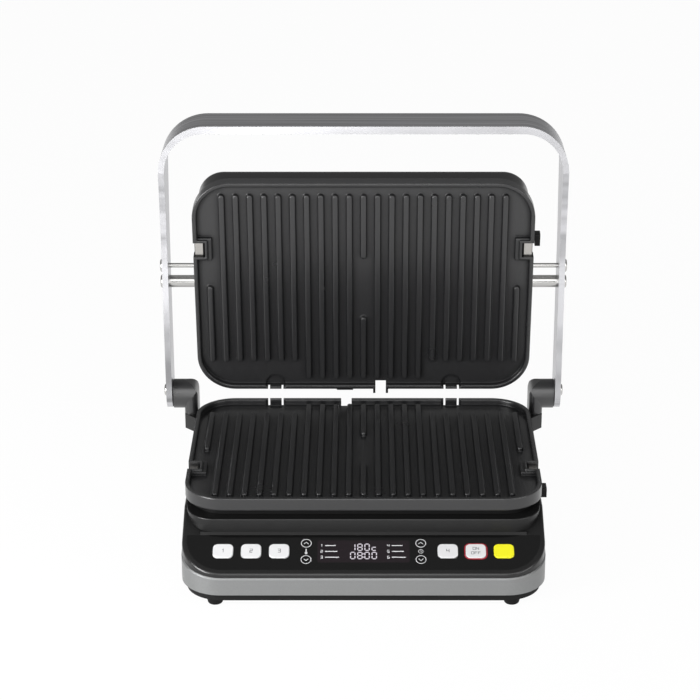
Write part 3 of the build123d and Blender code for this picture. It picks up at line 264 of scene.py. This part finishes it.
silver_paint = new_finish("silver_flake_paint", "#828383", 0.42, metallic=0.75)
tree, shader = inside(silver_paint)
place = add_node(tree, "ShaderNodeTexCoord")
flakes = add_node(tree, "ShaderNodeTexNoise", {"Scale": per_metre(flake_mm), "Detail": 2.0},
                  {"Vector": place.outputs["Object"]})
tone = add_node(tree, "ShaderNodeMix",
                {"data_type": "RGBA", mix_first: linear("#7a7b7b"), mix_second: linear("#8a8b8b")},
                {mix_share: flakes.outputs["Fac"]})
tree.links.new(tone.outputs[mix_out], shader.inputs["Base Color"])
put_on(silver_paint, "lower_shell")

# %% [markdown]
# The handle is a flat bar of stainless steel, bent into an arch and brushed along its length. The
# brush leaves fine scratches that run with the bar, whichever way it bends. The bar's depth runs
# square to the arch, so a noise that changes quickly with depth and slowly in the plane of the arch
# draws lines that follow every bend, with no unwrapping. The scratches are about a tenth of a
# millimetre apart on the real bar. They are drawn coarser, from two millimetres down to a quarter of
# one, so that they show as the bands of light and dark that the eye sees on a brushed bar. One noise
# feeds the tint, the gloss and the relief, so a dark line is also a deep one, and the raised lines
# between are lighter and a little duller.

# %% Finish: brushed stainless bar
scratch_mm = 1.8
streak_mm = 220.0
scratch_depth_mm = 0.05
scratch_strength = 0.12
gloss_span = (0.3, 0.7)
bar_roughness = (0.3, 0.4)
tint_span = (0.32, 0.62)

brushed_bar = new_finish("brushed_stainless_bar", "#cfcfce", 0.3, metallic=1.0)
tree, shader = inside(brushed_bar)
place = add_node(tree, "ShaderNodeTexCoord")
stretch = add_node(tree, "ShaderNodeMapping",
                   {"Scale": (per_metre(streak_mm), per_metre(scratch_mm), per_metre(streak_mm))},
                   {"Vector": place.outputs["Object"]})
scratches = add_node(tree, "ShaderNodeTexNoise", {"Scale": 1.0, "Detail": 3.0, "Roughness": 0.6},
                     {"Vector": stretch.outputs["Vector"]})
gloss = add_node(tree, "ShaderNodeMapRange", ranges(gloss_span, bar_roughness),
                 {"Value": scratches.outputs["Fac"]})
tree.links.new(gloss.outputs["Result"], shader.inputs["Roughness"])
share = add_node(tree, "ShaderNodeMapRange", ranges(tint_span, (0.0, 1.0)),
                 {"Value": scratches.outputs["Fac"]})
tint = add_node(tree, "ShaderNodeMix",
                {"data_type": "RGBA", mix_first: linear("#98989a"), mix_second: linear("#d0d0d3")},
                {mix_share: share.outputs["Result"]})
tree.links.new(tint.outputs[mix_out], shader.inputs["Base Color"])
bump = add_node(tree, "ShaderNodeBump",
                {"Strength": scratch_strength, "Distance": scratch_depth_mm * mm},
                {"Height": scratches.outputs["Fac"]})
tree.links.new(bump.outputs["Normal"], shader.inputs["Normal"])
put_on(brushed_bar, "handle_bail")

# %% [markdown]
# Pins and bolt heads are turned from stainless steel and polished. The clips in the plates' notches
# are stamped from spring steel and left bright. The latch pins and the heat probes have the same
# finish, and the screws are zinc plated.

# %% Finishes: turned, stamped and plated steel
turned_steel = new_finish("polished_turned_steel", "#c4c3c1", 0.16, metallic=1.0)
put_on(turned_steel, "lid_pivot_pins", "lid_stop_pins", "bail_pivot_bolts")

spring_steel = new_finish("stamped_spring_steel", "#bdbab6", 0.26, metallic=1.0)
put_on(spring_steel, "lower_latch_clip", "upper_latch_clip", "lower_fixed_catch",
       "upper_fixed_catch", "lower_latch_pin", "upper_latch_pin", "lower_heat_probe",
       "upper_heat_probe")

zinc_plate = new_finish("zinc_plated_screw", "#aeb2b4", 0.33, metallic=1.0)
put_on(zinc_plate, "cover_screws", "elbow_screws")

# %% [markdown]
# The keys are moulded in ABS, five of them in white and one in yellow. They are polished, with a
# soft highlight.

# %% Finishes: keys
white_key = new_finish("polished_white_abs", "#c6c6c7", 0.28, IOR=1.53)
put_on(white_key, "key_left_outer", "key_left_middle", "key_left_inner", "key_right_inner",
       "key_right_middle")

yellow_key = new_finish("polished_yellow_abs", "#d8d41c", 0.28, IOR=1.53)
put_on(yellow_key, "key_right_outer")

# %% [markdown]
# Under the silver band the base shows a thin dark lip, the edge of its bottom cover, and two feet.
# The cover is polypropylene, moulded with a matt grain that is drawn about twice its real size. The
# feet are natural rubber full of soot. Both swallow the light of the floor, so they are the darkest
# things in the picture.

# %% Finishes: bottom cover and feet
bottom_grain_mm = 1.2

bottom_cover = new_finish("matt_black_polypropylene", "#0c0c0c", 0.6, IOR=1.49,
                          Specular_IOR_Level=0.2)
moulded_grain(bottom_cover, bottom_grain_mm, depth_mm=0.06, strength=0.2)
put_on(bottom_cover, "base_cover")

foot_rubber = new_finish("moulded_rubber", "#0a0a0a", 0.7, IOR=1.52, Specular_IOR_Level=0.15)
put_on(foot_rubber, "rubber_feet")

# %% [markdown]
# Inside are pieces that show only when the grill is taken apart. The element is a steel tube packed
# with magnesia, dark from its first heat. The pans under it are aluminised steel, its rests are
# steatite, the boards are glass epoxy under a green mask, and the switches are a dark moulding.

# %% Finishes: inner pieces
element_sheath = new_finish("heat_darkened_sheath", "#4a4642", 0.45, metallic=0.9)
put_on(element_sheath, "lower_heating_element", "upper_heating_element")

aluminised_pan = new_finish("aluminised_steel_pan", "#b9bbbd", 0.36, metallic=1.0)
put_on(aluminised_pan, "lower_reflector", "upper_reflector")

steatite = new_finish("steatite_rest", "#d9d2c2", 0.5, IOR=1.6)
put_on(steatite, "lower_element_rests", "upper_element_rests")

board_mask = new_finish("green_masked_board", "#1f5a35", 0.35, IOR=1.55)
put_on(board_mask, "control_board", "power_board")

switch_plastic = new_finish("switch_moulding", "#232325", 0.45, IOR=1.5)
put_on(switch_plastic, "key_switches", "display_module")

# %% [markdown]
# The marks on the panel are screen printed, a film of white ink some hundredths of a millimetre
# thick. Ink is flat and has a hard edge, so each mark is a thin plate of its own on the sheet, and
# not a colour in the sheet's finish. They are laid out on the sloping deck, in millimetres across it
# and up the slope from its front edge.

# %% The deck as a drawing board
deck_slope = math.radians(24.0)
deck_foot = np.array([0.0, -141.7, 33.5]) * mm
deck_across = np.array([1.0, 0.0, 0.0])
deck_up = np.array([0.0, math.cos(deck_slope), math.sin(deck_slope)])
deck_out = np.array([0.0, -math.sin(deck_slope), math.cos(deck_slope)])
key_line = 20.4


def deck_box(name):
    """A CAD piece's lowest and highest corner in deck millimetres: across, up the slope, out."""
    piece = nodes[name]
    corners = np.empty(len(piece.data.vertices) * 3)
    piece.data.vertices.foreach_get("co", corners)
    matrix = np.array(piece.matrix_world)
    away = corners.reshape(-1, 3) @ matrix[:3, :3].T + matrix[:3, 3] - deck_foot
    on_deck = np.stack([away[:, 0], away @ deck_up, away @ deck_out], axis=1) / mm
    return on_deck.min(axis=0), on_deck.max(axis=0)


panel_top = deck_box("control_panel")[1][2]
window_top = deck_box("display_window")[1][2]
key_low, key_high = deck_box("key_right_middle")
key_middle = (key_low + key_high) / 2
print("panel stands", round(panel_top, 2), "mm out of the deck, a key", round(key_high[2], 2))
print("a key's face in mm:", np.round(key_high - key_low, 2)[:2])

# %% [markdown]
# Every mark is drawn with strokes, as the pen of a plotter would draw it, each of one even width. A
# text object would bring a typeface with it, and a picture blurs from near by. Strokes stay crisp,
# and their widths are set in millimetres. One function draws a stroke, two more give it circles and
# round corners to follow, and the last lays a set of strokes on the deck as one thin plate.

# %% Strokes, and the plates they make
ink_thick = 0.05


def stroke(path, width, closed=False):
    """A band along a path. Each point goes half the width to both sides, square to the mean of the
    directions before and after it, and over the cosine of half the bend, so corners stay sharp."""
    path = np.asarray(path, dtype=float)
    step = (np.roll(path, -1, axis=0) - path) if closed else np.diff(path, axis=0)
    step /= np.linalg.norm(step, axis=1, keepdims=True)
    before = np.roll(step, 1, axis=0) if closed else np.vstack([step[:1], step])
    after = step if closed else np.vstack([step, step[-1:]])
    along = before + after
    along /= np.linalg.norm(along, axis=1, keepdims=True)
    square = np.stack([-along[:, 1], along[:, 0]], axis=1)
    reach = square * width / 2 / np.sum(along * after, axis=1, keepdims=True)
    count = len(path)
    first = np.arange(count if closed else count - 1)
    second = (first + 1) % count
    faces = np.stack([first, second, second + count, first + count], axis=1)
    return np.concatenate([path - reach, path + reach]), faces


def arc(middle, radius, start=0.0, end=360.0, count=33):
    """Points on a circle, from one angle to the other. A full turn leaves out its last point."""
    angle = np.radians(np.linspace(start, end, count, endpoint=end - start < 360.0))
    return np.stack([middle[0] + radius * np.cos(angle), middle[1] + radius * np.sin(angle)],
                    axis=1)


def round_box(middle, half, corner):
    """A rectangle with round corners: four quarter circles set in from its corners."""
    turns = ((1, 1, 0), (-1, 1, 90), (-1, -1, 180), (1, -1, 270))
    return np.concatenate([
        arc((middle[0] + x * (half[0] - corner), middle[1] + y * (half[1] - corner)), corner,
            turn, turn + 90, count=9)
        for x, y, turn in turns])


def lay_on_deck(name, strokes, out, body, material):
    """One object of all the strokes, a plate that stands on a plane `out` mm from the deck."""
    points, faces = zip(*strokes)
    starts = np.cumsum([0] + [len(part) for part in points[:-1]])
    points = np.concatenate(points)
    faces = np.concatenate([part + start for part, start in zip(faces, starts)])
    placed = (deck_foot + points[:, :1] * mm * deck_across
              + points[:, 1:] * mm * deck_up + out * mm * deck_out)
    data = bpy.data.meshes.new(name)
    data.from_pydata(placed.tolist(), [], faces.tolist())
    data.materials.append(material)
    made = new_object(name, data)
    plate = made.modifiers.new("ink", "SOLIDIFY")
    plate.thickness = ink_thick * mm
    plate.offset = 1.0
    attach(made, body)
    print(name, len(strokes), "strokes")

# %% [markdown]
# The ink is a two-part screen ink, white on the panel and dark grey on the keys, quite matt. One key
# is ringed in red. Figures behind the smoked window are light-emitting segments with a faint violet
# tinge, bright enough to read and not so bright that they glare.

# %% Finishes: inks and lit segments
white_ink = new_finish("white_screen_ink", "#bebec0", 0.6)
grey_ink = new_finish("grey_screen_ink", "#54565a", 0.6)
red_ink = new_finish("red_screen_ink", "#a3162b", 0.5)
lit_segment = new_finish("lit_segments", "#0a0a0a", 0.5, Emission_Strength=0.82,
                         Emission_Color=linear("#f3ecf6"))

# %% [markdown]
# Beside the window stand two pairs of rings, each with an arrow up or down, which change the heat at
# the left and the time at the right. A plain thermometer and a plain clock between the rings say so.

# %% Marks: arrows, thermometer and clock
mark_out = 47.3
mark_apart = 8.5
ring_radius = 4.1
ring_pen = 0.55
arrow_half = 1.9
arrow_rise = 1.1
arrow_drop = 0.8
clock_radius = 1.9
clock_pen = 0.4
long_hand = 1.2
short_hand = 1.0
stem_rise = 2.6
stem_drop = 1.0
bulb_drop = 1.7
bulb_radius = 0.7
thermometer_pen = 0.9

arrows = []
for x in (-mark_out, mark_out):
    for turn in (1, -1):
        up = key_line + turn * mark_apart
        foot = up - turn * arrow_drop
        tip = ((x - arrow_half, foot), (x, up + turn * arrow_rise), (x + arrow_half, foot))
        arrows.append(stroke(arc((x, up), ring_radius), ring_pen, closed=True))
        arrows.append(stroke(tip, ring_pen))

clock = (mark_out, key_line)
hands = ((mark_out, key_line + long_hand), clock, (mark_out + short_hand, key_line))
arrows.append(stroke(arc(clock, clock_radius), clock_pen, closed=True))
arrows.append(stroke(hands, clock_pen))

stem = ((-mark_out, key_line - stem_drop), (-mark_out, key_line + stem_rise))
bulb = arc((-mark_out, key_line - bulb_drop), bulb_radius, count=17)
arrows.append(stroke(stem, thermometer_pen))
arrows.append(stroke(bulb, thermometer_pen, closed=True))
lay_on_deck("panel_marks", arrows, panel_top, "base", white_ink)

# %% [markdown]
# Six programmes are listed beside the figures, three on each side, each with its number and a short
# bar. Digits and letters come from one small table of pen paths, on a grid that is one unit wide and
# one high. The O ends a hair above its start, so that its last stroke closes it.

# %% Marks: plain numbers
pen_paths = {
    "1": [((0.2, 0.75), (0.6, 1), (0.6, 0))],
    "2": [((0, 1), (1, 1), (1, 0.52), (0, 0.48), (0, 0), (1, 0))],
    "3": [((0, 1), (1, 1), (1, 0), (0, 0)), ((0.1, 0.5), (0.9, 0.5))],
    "4": [((0, 1), (0, 0.45), (0.9, 0.45)), ((1, 1), (1, 0))],
    "5": [((1, 1), (0, 1), (0, 0.52), (1, 0.48), (1, 0), (0, 0))],
    "6": [((1, 1), (0, 1), (0, 0), (1, 0), (1, 0.5), (0.1, 0.5))],
    "O": [((0, 0), (0, 1), (1, 1), (1, 0), (0, 0.001))],
    "N": [((0, 0), (0, 1)), ((0.06, 0.94), (0.94, 0.06)), ((1, 0), (1, 1))],
    "F": [((0, 0), (0, 1), (1, 1)), ((0.1, 0.5), (0.8, 0.5))],
}


def lettering(text, middle, height, width, gap, pen):
    """Strokes of a short text, set about its middle. Letters are one `gap` apart."""
    start = middle[0] - (len(text) * width + (len(text) - 1) * gap) / 2
    size = np.array([width, height])
    foot = middle[1] - height / 2
    return [stroke(np.array(path) * size + (start + i * (width + gap), foot), pen)
            for i, letter in enumerate(text) for path in pen_paths[letter]]


# Height, width, gap and pen of the numbers in the list, in mm
list_number = (2.5, 1.5, 0.5, 0.45)
list_out = 27.5
number_left = 7.0
bar_left = 4.2
bar_ends = (4.6, 5.8, 7.4)
bar_pen = 0.9
row_pitch = 6.1

rows = []
for side, first_number in ((-1, 1), (1, 4)):
    middle = side * list_out
    for row, bar_end in enumerate(bar_ends):
        up = key_line + (1 - row) * row_pitch
        rows += lettering(str(first_number + row), (middle - number_left, up), *list_number)
        rows.append(stroke(((middle - bar_left, up), (middle + bar_end, up)), bar_pen))
lay_on_deck("programme_marks", rows, window_top, "base", white_ink)

# %% [markdown]
# Each lit figure has places for seven straight segments, with a small gap where two of them meet.
# Which segments are on follows from the digit. The two rows show a plain temperature and a plain
# time. The real ones shine through the window. Here the window is opaque, so they lie on its face.

# %% Lit figures
segment_ends = {
    "a": ((0, 2), (1, 2)), "b": ((1, 2), (1, 1)), "c": ((1, 1), (1, 0)), "d": ((0, 0), (1, 0)),
    "e": ((0, 0), (0, 1)), "f": ((0, 1), (0, 2)), "g": ((0, 1), (1, 1)),
}
lit = {"0": "abcdef", "1": "bc", "8": "abcdefg", "c": "deg"}
figure_size = np.array([3.6, 3.35])
figure_pitch = 5.9
figure_row_up = 4.3
segment_pen = 0.85
segment_gap_share = 0.13
colon_half = 0.45
colon_dots_up = (-6.0, -2.6)


def figure_row(text, up):
    """Segments of a row of figures, centred across. Each one is shortened by the same share."""
    made = []
    for i, letter in enumerate(text):
        corner = np.array([(i - (len(text) - 1) / 2) * figure_pitch - figure_size[0] / 2,
                           up - figure_size[1]])
        for name in lit[letter]:
            ends = np.array(segment_ends[name], dtype=float)
            inward = (ends[::-1] - ends) * segment_gap_share
            made.append(stroke((ends + inward) * figure_size + corner, segment_pen))
    return made


figures = figure_row("180c", key_line + figure_row_up)
figures += figure_row("0800", key_line - figure_row_up)
for dot_up in colon_dots_up:
    dot = ((-colon_half, key_line + dot_up), (colon_half, key_line + dot_up))
    figures.append(stroke(dot, segment_pen))
lay_on_deck("lit_figures", figures, window_top, "base", lit_segment)

# %% [markdown]
# The keys carry small dark marks. Four of them have a plain number, the one that starts the grill
# reads ON and OFF and is ringed in red on the sheet, and the yellow one is bare. Each mark moves
# with its key.

# %% Marks on the keys
# Height, width, gap and pen of a key's number and of its words, in mm
key_number = (3.4, 2.1, 0.6, 0.5)
key_word = (2.5, 2.0, 0.8, 0.45)
word_up = 2.3
key_gap = 0.35
red_pen = 0.8
key_corner = 4.4
numbered_keys = ("key_left_outer", "key_left_middle", "key_left_inner", "key_right_inner")

for number, name in enumerate(numbered_keys, start=1):
    low, high = deck_box(name)
    digit = lettering(str(number), (low + high) / 2, *key_number)
    lay_on_deck(name.replace("key", "number"), digit, high[2], name, grey_ink)

words = []
for word, up in (("ON", word_up), ("OFF", -word_up)):
    words += lettering(word, (key_middle[0], key_middle[1] + up), *key_word)
lay_on_deck("on_off_mark", words, key_high[2], "key_right_middle", grey_ink)

red_half = (key_high - key_low)[:2] / 2 + key_gap + red_pen / 2
ring = stroke(round_box(key_middle, red_half, key_corner), red_pen, closed=True)
lay_on_deck("red_key_ring", [ring], panel_top, "base", red_ink)

# %% [markdown]
# The studio's floor is pale and plain. A brighter light would make it white, but it would bleach the
# grill too. So the camera and the shiny pieces see the floor as glowing white paper, by their kind
# of ray, while it gives matt surfaces no more light than a pale sheet does. The small share that
# doesn't glow still takes the grill's shadow, faintly.

# %% The floor
paper_white_share = 0.96
floor_low = (-4.0, -4.0)
floor_high = (4.0, 6.0)


def flat_sheet(name, low, high):
    """A flat sheet at height 0. Its four corners are all pairs of a low or high x and y."""
    x, y = np.meshgrid((low[0], high[0]), (low[1], high[1]))
    points = np.stack([x.ravel(), y.ravel(), np.zeros(4)], axis=1)
    made = bpy.data.meshes.new(name)
    made.from_pydata(points.tolist(), [], [(0, 1, 3, 2)])
    return made


def seen_by(tree, *kinds):
    """1 for the kinds of ray that are named and 0 for others: the largest of their outputs."""
    rays = add_node(tree, "ShaderNodeLightPath")
    largest = rays.outputs[kinds[0]]
    for kind in kinds[1:]:
        either = add_node(tree, "ShaderNodeMath", {"operation": "MAXIMUM"},
                          {0: largest, 1: rays.outputs[kind]})
        largest = either.outputs["Value"]
    return largest


floor = new_object("floor", flat_sheet("floor", floor_low, floor_high))

floor_paper = new_finish("white_paper", "#f2f2f2", 0.9)
tree, shader = inside(floor_paper)
seen = seen_by(tree, "Is Camera Ray", "Is Glossy Ray", "Is Transmission Ray")
share = add_node(tree, "ShaderNodeMath", {"operation": "MULTIPLY", 1: paper_white_share}, {0: seen})
glow = add_node(tree, "ShaderNodeEmission", {"Color": (1.0, 1.0, 1.0, 1.0), "Strength": 1.0})
both = add_node(tree, "ShaderNodeMixShader", {},
                {0: share.outputs["Value"], 1: shader.outputs["BSDF"], 2: glow.outputs["Emission"]})
tree.links.new(both.outputs["Shader"], tree.nodes["Material Output"].inputs["Surface"])
floor.data.materials.append(floor_paper)
print("floor from", floor_low, "to", floor_high, "m")

# %% [markdown]
# The room gives weak light from all round. Its back is darker than its front, so the top of the bar
# and the deck stay deep. To the camera the room beyond the floor is as white as the far paper. Shiny
# pieces go on seeing it dark there, or the top of the bar would vanish.

# %% The room
far_paper_share = 0.97
toward_back = (-0.8, 0.5)
room_level = (0.36, 0.28)

world = bpy.data.worlds.new("studio_room")
world.use_nodes = True
tree = world.node_tree
place = add_node(tree, "ShaderNodeTexCoord")
toward = add_node(tree, "ShaderNodeSeparateXYZ", {}, {"Vector": place.outputs["Generated"]})
room = add_node(tree, "ShaderNodeMapRange", ranges(toward_back, room_level),
                {"Value": toward.outputs["Y"]})
seen = seen_by(tree, "Is Camera Ray", "Is Transmission Ray")
white = add_node(tree, "ShaderNodeMath", {"operation": "MULTIPLY", 1: far_paper_share}, {0: seen})
level = add_node(tree, "ShaderNodeMath", {"operation": "MAXIMUM"},
                 {0: room.outputs["Result"], 1: white.outputs["Value"]})
tree.links.new(level.outputs["Value"], tree.nodes["Background"].inputs["Strength"])
tree.nodes["Background"].inputs["Color"].default_value = (1.0, 1.0, 1.0, 1.0)
bpy.context.scene.world = world
print("room from", room_level[0], "at the front to", room_level[1], "at the back")

# %% [markdown]
# A large soft box stands high in front and lights the keys and the deck. Two low ones give the
# shine: one in front, which the front of the bar mirrors, and one at the left, which draws the lines
# along the ribs. Two more fill the sides, the left one the stronger, as in the photograph.

# %% Lamps
grill_middle = (0.0, 0.0, 0.15)

# Name, place in metres, width and height in metres, and watts
soft_boxes = (
    ("front_box", (0.0, -1.9, 1.7), (2.4, 1.5), 22.0),
    ("low_box", (0.0, -0.95, 0.26), (0.42, 0.44), 1.8),
    ("low_left_box", (-0.62, -0.5, 0.2), (0.3, 0.34), 4.0),
    ("left_box", (-1.25, -1.1, 0.55), (1.1, 0.9), 20.0),
    ("right_box", (1.25, -1.1, 0.55), (1.1, 0.9), 9.0),
)


def soft_box(name, place, aim, size, watts):
    """A rectangular lamp that faces a point: its local -Z axis runs from its place to the aim."""
    data = bpy.data.lights.new(name, "AREA")
    data.shape = "RECTANGLE"
    data.size, data.size_y = size
    data.energy = watts
    lamp = new_object(name, data)
    lamp.location = place
    direction = Vector(aim) - Vector(place)
    lamp.rotation_euler = direction.to_track_quat("-Z", "Y").to_euler()
    print(name, watts, "W")


for name, place, size, watts in soft_boxes:
    soft_box(name, place, grill_middle, size, watts)
